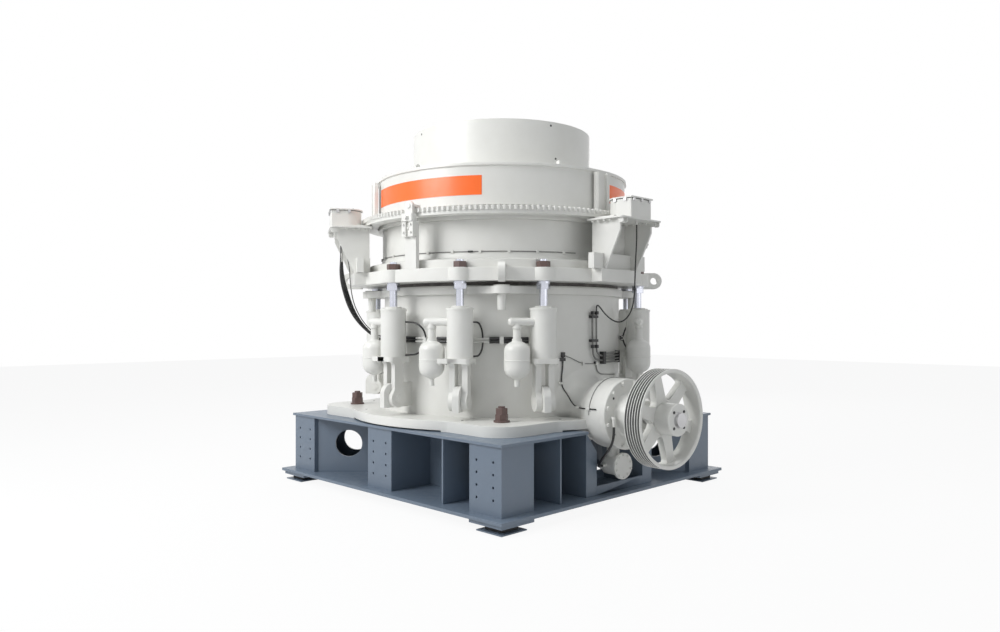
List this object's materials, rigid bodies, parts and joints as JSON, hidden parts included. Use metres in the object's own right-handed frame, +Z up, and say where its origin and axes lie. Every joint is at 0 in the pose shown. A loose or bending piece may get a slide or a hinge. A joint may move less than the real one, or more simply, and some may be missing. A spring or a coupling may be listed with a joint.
{
  "type": "cone crusher",
  "caption": "Stationary cone crusher on a welded square base, with tramp-release cylinders, screwed bowl and cap, ring gear, feed hopper and grooved drive sheave.",
  "frame": {"origin": "on the ground under the main vertical axis", "axes": "+Z up the main axis through the feed hopper; +X towards the drive side of the base"},
  "size_m": [4.2273, 3.6096, 3.8],
  "materials": {
    "base_paint": "satin",
    "rubber": "matt",
    "white_paint": "satin",
    "red_brown": "satin",
    "bright_steel": "polished",
    "machined_steel": "machined",
    "cast_steel": "as cast",
    "manganese_steel": "as cast",
    "orange_paint": "gloss",
    "dark_pipe": "satin"
  },
  "bodies": {
    "frame": {"foot_plates": "base_paint", "rubber_pads": "rubber", "base_bottom_plate": "base_paint", "base_corner_posts": "base_paint", "base_diagonal_webs": "base_paint", "base_middle_posts": "base_paint", "base_inner_wall": "base_paint", "base_drive_posts": "base_paint", "base_top_plate": "base_paint", "main_frame_foot": "white_paint", "main_frame_barrel": "white_paint", "hub_and_arms": "white_paint", "seat_ring": "cast_steel", "countershaft_tunnel": "white_paint", "countershaft_housing": "white_paint", "drain_canister": "white_paint", "anchor_nuts": "red_brown", "frame_pins": "white_paint", "cylinder_lugs": "white_paint", "release_cylinders": "white_paint", "accumulators": "white_paint", "manifold_pipes": "white_paint", "head_socket": "cast_steel", "head": "cast_steel", "mantle": "manganese_steel", "feed_plate": "manganese_steel"},
    "adjustment_ring_body": {"adjustment_ring": "white_paint", "clamp_ring": "white_paint", "lifting_lugs": "white_paint", "cylinder_rods": "bright_steel", "rod_nuts": "red_brown", "drive_brackets": "white_paint", "drive_boxes": "white_paint", "drive_box_lids": "white_paint", "lock_brackets": "white_paint"},
    "drive_ring_body": {"drive_ring": "white_paint", "guide_channels": "white_paint"},
    "bowl_body": {"bowl": "white_paint", "bowl_liner": "manganese_steel", "adjustment_cap": "white_paint", "banner_plates": "orange_paint", "feed_hopper": "white_paint"},
    "countershaft_body": {"countershaft": "machined_steel", "drive_sheave": "white_paint"}
  },
  "joints": [
    {"name": "countershaft_spin", "type": "hinge", "parent": "frame", "child": "countershaft_body", "pos_m": [0, 0, 0.889], "axis": [0.9962, -0.0872, 0], "continuous": true},
    {"name": "tramp_lift", "type": "slide", "parent": "frame", "child": "adjustment_ring_body", "axis": [0, 0, 1], "range_m": [0, 0.1]},
    {"name": "bowl_turn", "type": "hinge", "parent": "adjustment_ring_body", "child": "drive_ring_body", "pos_m": [0, 0, 2.8], "axis": [0, 0, 1], "range_deg": [-180, 720]},
    {"name": "bowl_screw", "type": "slide", "parent": "drive_ring_body", "child": "bowl_body", "axis": [0, 0, 1], "range_m": [-0.019, 0.076]}
  ],
  "couplings": [
    {"joint": "bowl_screw", "follows": "bowl_turn", "m_per_rad": 0.0060479}
  ]
}
